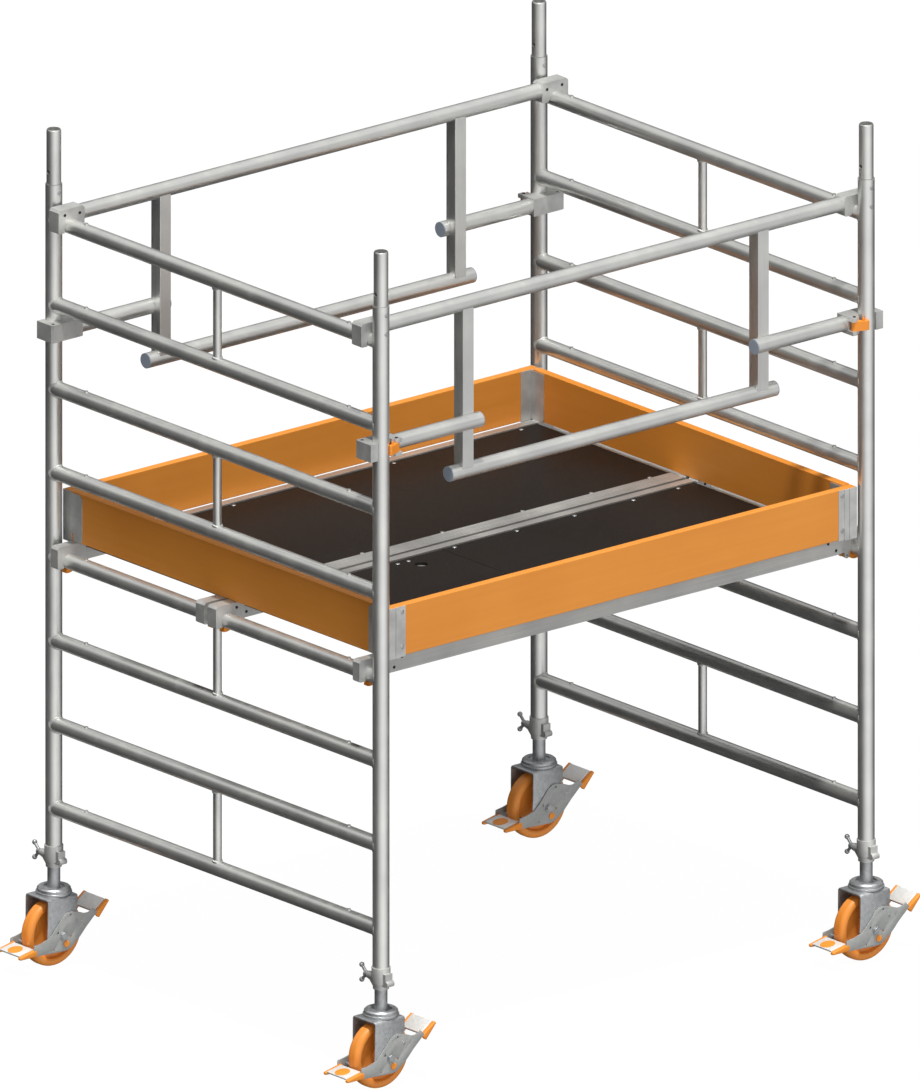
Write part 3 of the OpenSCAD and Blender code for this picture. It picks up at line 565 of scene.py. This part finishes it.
def forkShell(name):
    # one bent sheet: crown with round shoulders and two legs cut to their outline
    size = forkSizes
    half = size["width"] / 2
    cut = size["cutHalf"]
    low = (size["front"] - 0.004, -half, size["legFoot"])
    shell = block(name, low, (size["back"] + 0.002, half, size["top"]))
    pick(shell)
    bpy.ops.object.mode_set(mode="EDIT")
    bpy.ops.mesh.select_all(action="DESELECT")
    bpy.ops.object.mode_set(mode="OBJECT")
    for edge in shell.data.edges:
        ends = [shell.data.vertices[i].co for i in edge.vertices]
        edge.select = all(v.z > 0.1 for v in ends) and abs(ends[0].y - ends[1].y) < 0.001
    bpy.ops.object.mode_set(mode="EDIT")
    bpy.ops.mesh.select_mode(type="EDGE")
    bpy.ops.mesh.bevel(offset=size["shoulder"], segments=6, affect="EDGES")
    bpy.ops.mesh.select_mode(type="FACE")
    bpy.ops.mesh.select_all(action="DESELECT")
    bpy.ops.object.mode_set(mode="OBJECT")
    for face in shell.data.polygons:
        face.select = abs(face.normal.x) > 0.9 or face.normal.z < -0.9
    bpy.ops.object.mode_set(mode="EDIT")
    bpy.ops.mesh.delete(type="FACE")
    bpy.ops.object.mode_set(mode="OBJECT")
    finishWith(shell, "SOLIDIFY", thickness=size["sheet"], offset=-1)
    top = size["top"] + 0.01
    back, front = size["back"], size["front"]
    outline = [(front, top), (back, top), (back - 0.003, 0.07), (0.034, 0.008), (0.018, -0.016),
               (0.0, -0.022), (-0.016, -0.02), (-0.05, -0.008), (-0.0555, 0.0), (-0.053, 0.04)]
    cutter = plateXZ("outline", outline, -cut, cut)
    finishWith(shell, "BOOLEAN", operation="INTERSECT", solver="EXACT", object=cutter)
    bpy.data.objects.remove(cutter)
    bore = rod("bore", (size["trail"], 0, 0.09), (size["trail"], 0, 0.13), size["kingpin"])
    cutAway(shell, [bore, rod("bore", (0, -cut, 0), (0, cut, 0), size["bolt"] + 0.0002)])
    roundEdges(shell, 0.0007, 2, 50)
    return smooth(shell, 35)


def forkTemplate():
    size = forkSizes
    pieces = [dress(forkShell("shell"), shades["zinc"])]
    race = rod("race", (size["trail"], 0, size["top"] - 0.001), (size["trail"], 0, size["raceTop"]),
               size["raceRadius"], 0.002, 64)
    cutAway(race, [rod("bore", (size["trail"], 0, 0.1), (size["trail"], 0, 0.13), size["kingpin"])])
    pieces.append(dress(smooth(race), shades["zinc"]))
    bolt = rod("bolt", (0, -size["boltHalf"], 0), (0, size["boltHalf"], 0), size["bolt"], 0.001)
    pieces.append(dress(smooth(bolt), shades["zinc"]))
    for s in (-1, 1):
        washer = rod("washer", (0, s * size["washerIn"], 0), (0, s * size["washerOut"], 0),
                     size["washerRadius"], 0.0004)
        pieces.append(dress(smooth(washer), shades["zinc"]))
        nut = rod("nut", (0, s * size["washerOut"], 0), (0, s * size["nutOut"], 0),
                  size["nutRadius"], 0.0, 6)
        pieces.append(dress(roundEdges(nut, 0.0008, 2), shades["zinc"]))
    return joinUp(pieces, "forkTemplate")


brakeSizes = {
    "inner": 0.0506,
    "sheet": 0.003,
    "edge": 0.0008,
    "outline": [(-0.101, -0.043), (-0.108, -0.034), (-0.106, -0.012), (-0.08, -0.008),
                (-0.052, 0.0), (-0.033, 0.017), (-0.014, 0.038), (0.0, 0.054),
                (0.014, 0.064), (0.03, 0.065),
                (0.052, 0.06), (0.078, 0.05), (0.092, 0.049), (0.112, 0.058), (0.126, 0.044),
                (0.114, 0.034), (0.085, 0.008), (0.062, -0.016), (0.04, -0.034), (0.022, -0.045),
                (0.004, -0.048), (-0.065, -0.044)],
    "holes": [(-0.019, 0.01, 0.0034), (0.028, -0.008, 0.003), (0.028, 0.0555, 0.003),
              (-0.034, -0.037, 0.0022), (0.07, 0.028, 0.0022)],
    "padWidth": 0.084,
    "padThick": 0.006,
    "cheek": 0.012,
    "frontPedal": (-0.128, -0.03, 0.055, 10),
    "rearPedal": (0.143, 0.057, 0.049, -38),
    "disc": 0.022,
    "cam": 0.0098,
    "camSpot": (0.0115, -0.027),
    "rivet": 0.004,
    "rivetSpots": ((-0.006, -0.006), (0.05, 0.035)),
    "spacer": 0.005,
    "spacerSpots": ((0.06, 0.03), (-0.075, -0.026)),
    "axleHole": 0.0062,
    "cutHalf": 0.08,
}


def brakeSide(sign):
    size = brakeSizes
    y = sorted((sign * size["inner"], sign * (size["inner"] + size["sheet"])))
    side = plateXZ("side", size["outline"], y[0], y[1])
    cut = size["cutHalf"]
    holes = [rod("hole", (x, -cut, z), (x, cut, z), r, 0, 20) for x, z, r in size["holes"]]
    holes.append(rod("hole", (0, -cut, 0), (0, cut, 0), size["axleHole"]))
    cutAway(side, holes)
    roundEdges(side, size["edge"], 2, 50)
    return dress(smooth(side), shades["brakePlate"])


def pedal(place, hasDisc):
    x, z, long, tilt = place
    size = brakeSizes
    half = size["padWidth"] / 2
    thick = size["padThick"]
    pad = dress(block("pad", (-long / 2, -half, -thick / 2), (long / 2, half, thick / 2), 0.0018),
                shades["pedalPad"])
    pieces = [smooth(pad)]
    if hasDisc:
        disc = rod("disc", (0.004, 0, thick / 2 - 0.001), (0.004, 0, thick / 2 + 0.0012),
                   size["disc"], 0.0006, 48)
        pieces.append(dress(smooth(disc), shades["orange"]))
    lip = block("lip", (-long / 2, -half, -thick / 2 - 0.003), (-long / 2 + 0.003, half, 0),
                0.001, 2)
    pieces.append(dress(lip, shades["pedalPad"]))
    # wedge-shaped cheeks that hang below the tread, deepest at the lever
    for s in (-1, 1):
        y = sorted((s * half, s * (half + size["cheek"])))
        cheek = plateXZ("cheek", [(-long / 2 - 0.006, thick / 2 - 0.001),
                                  (long / 2 + 0.003, thick / 2 - 0.003),
                                  (long / 2 + 0.004, -thick / 2 - 0.005),
                                  (-long / 2 - 0.004, -thick / 2 - 0.016)], y[0], y[1], 0.0025)
        pieces.append(dress(smooth(cheek, 60), shades["orange"]))
    made = joinUp(pieces, "pedal")
    turn = Matrix.Rotation(math.radians(tilt), 4, "Y")
    made.data.transform(Matrix.Translation((x, 0, z)) @ turn)
    return made


def brakeTemplate():
    size = brakeSizes
    out = size["inner"] + size["sheet"]
    pieces = [brakeSide(-1), brakeSide(1)]
    x, z, long, tilt = size["frontPedal"]
    front = pedal((-x, z, long, tilt), True)
    front.data.transform(Matrix.Diagonal((-1, 1, 1, 1)))
    front.data.flip_normals()
    pieces += [front, pedal(size["rearPedal"], False)]
    for s in (-1, 1):
        px, pz = size["camSpot"]
        cam = rod("cam", (px, s * (out - 0.001), pz), (px, s * (out + 0.003), pz),
                  size["cam"], 0.0012, 24)
        pieces.append(dress(smooth(cam), shades["orange"]))
        for px, pz in size["rivetSpots"]:
            rivet = rod("rivet", (px, s * (out - 0.001), pz), (px, s * (out + 0.0016), pz),
                        size["rivet"], 0.001, 20)
            pieces.append(dress(smooth(rivet), shades["zinc"]))
    for px, pz in size["spacerSpots"]:
        spacer = rod("spacer", (px, -size["inner"], pz), (px, size["inner"], pz),
                     size["spacer"], 0.0, 24)
        pieces.append(dress(smooth(spacer), shades["zinc"]))
    return joinUp(pieces, "brakeTemplate")


def castors():
    low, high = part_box("left_front_wheel")
    stemLow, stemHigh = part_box("left_front_stem")
    forkSizes["trail"] = (stemLow.x + stemHigh.x) / 2 - (low.x + high.x) / 2
    fork = forkTemplate()
    brake = brakeTemplate()
    for corner in corners:
        low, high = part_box(corner + "_wheel")
        at = Matrix.Translation((low + high) / 2)
        piece = copyOf(fork, corner + "_fork_shell", at)
        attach(piece, corner + "_fork_body")
        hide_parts(corner + "_fork")
        piece = copyOf(brake, corner + "_brake_lever", at)
        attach(piece, corner + "_brake_body")
        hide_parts(corner + "_brake")
    for template in (fork, brake):
        bpy.data.objects.remove(template)


castors()
print("castors done")

studio = {
    "azimuth": -40,
    "elevation": 18.3,
    "height": 3.081,
    "aim": (0, 0, 1.241),
    "stepBack": 8,
    "keyAzimuth": -35,
    "keyElevation": 75,
    "key": 3.0,
    "keySoftness": 4,
    "keyTint": (1.0, 0.985, 0.95),
    "walls": 0.03,
    "softbox": 1.0,
    "softboxAzimuth": -10,
    "softboxElevation": -10,
    "softboxFocus": 1.5,
    "ceiling": 0.6,
    "ceilingEdge": 0.3,
    "ceilingFade": 0.35,
    "floorSize": 60,
    "floorLight": 1.02,
    "floorGlow": 0.96,
}


def awayFrom(azimuth, elevation):
    a, e = math.radians(azimuth), math.radians(elevation)
    return Vector((math.sin(a) * math.cos(e), -math.cos(a) * math.cos(e), math.sin(e)))


def addCamera():
    data = bpy.data.cameras.new("camera")
    data.type = "ORTHO"
    data.ortho_scale = studio["height"]
    data.clip_end = 60
    camera = bpy.data.objects.new("camera", data)
    bpy.context.scene.collection.objects.link(camera)
    back = awayFrom(studio["azimuth"], studio["elevation"])
    camera.location = Vector(studio["aim"]) + back * studio["stepBack"]
    camera.rotation_euler = (-back).to_track_quat("-Z", "Y").to_euler()
    bpy.context.scene.camera = camera


def addLights():
    sun = bpy.data.lights.new("key", "SUN")
    sun.energy = studio["key"]
    sun.angle = math.radians(studio["keySoftness"])
    sun.color = studio["keyTint"]
    lamp = bpy.data.objects.new("key", sun)
    bpy.context.scene.collection.objects.link(lamp)
    back = awayFrom(studio["keyAzimuth"], studio["keyElevation"])
    lamp.rotation_euler = (-back).to_track_quat("-Z", "Y").to_euler()
    world = bpy.data.worlds.new("studio")
    bpy.context.scene.world = world
    room = NodeTree(world)
    toward = room.node("TexCoord", {}, {}, "Generated")
    front = awayFrom(studio["softboxAzimuth"], studio["softboxElevation"])
    facing = room.node("VectorMath", {"operation": "DOT_PRODUCT"}, {0: toward, 1: front}, "Value")
    lobe = room.node("Math", {"operation": "MAXIMUM"}, {0: facing, 1: 0.0})
    softbox = lobe ** studio["softboxFocus"]
    height = room.node("SeparateXYZ", {}, {0: toward}, "Z")
    overhead = room.node("MapRange", {"interpolation_type": "SMOOTHSTEP"},
                         {0: height, 1: studio["ceilingEdge"],
                          2: studio["ceilingEdge"] + studio["ceilingFade"]})
    glow = studio["walls"] + softbox * studio["softbox"] + overhead * studio["ceiling"]
    seen = room.node("LightPath", {}, {}, "Is Camera Ray")
    room.send(seen + (1 - seen) * glow, "Background", "Strength")
    room.tree.nodes["Background"].inputs["Color"].default_value = (1, 1, 1, 1)


def addFloor():
    # white to the eye with a trace of shadow, and left out of what lights the tower
    deselect()
    bpy.ops.mesh.primitive_plane_add(size=studio["floorSize"], location=(0, 0, -0.0005))
    floor = settle("floor")
    material = bpy.data.materials.new("paleFloor")
    ground = NodeTree(material)
    matt = ground.tree.nodes["Principled BSDF"]
    matt.inputs["Base Color"].default_value = (0.8, 0.8, 0.79, 1)
    matt.inputs["Roughness"].default_value = 0.9
    lit = Sock(ground, matt.outputs[0])
    glow = ground.node("Emission", {}, {"Strength": studio["floorLight"]})
    clear = ground.node("BsdfTransparent", {}, {})
    seen = ground.node("LightPath", {}, {}, "Is Camera Ray")
    shown = ground.node("MixShader", {}, {0: studio["floorGlow"], 1: lit, 2: glow})
    floorLook = ground.node("MixShader", {}, {0: seen, 1: clear, 2: shown})
    ground.send(floorLook, "Material Output", "Surface")
    floor.data.materials.append(material)


addCamera()
addLights()
addFloor()
bpy.context.scene.view_settings.view_transform = "Standard"
print("studio done")
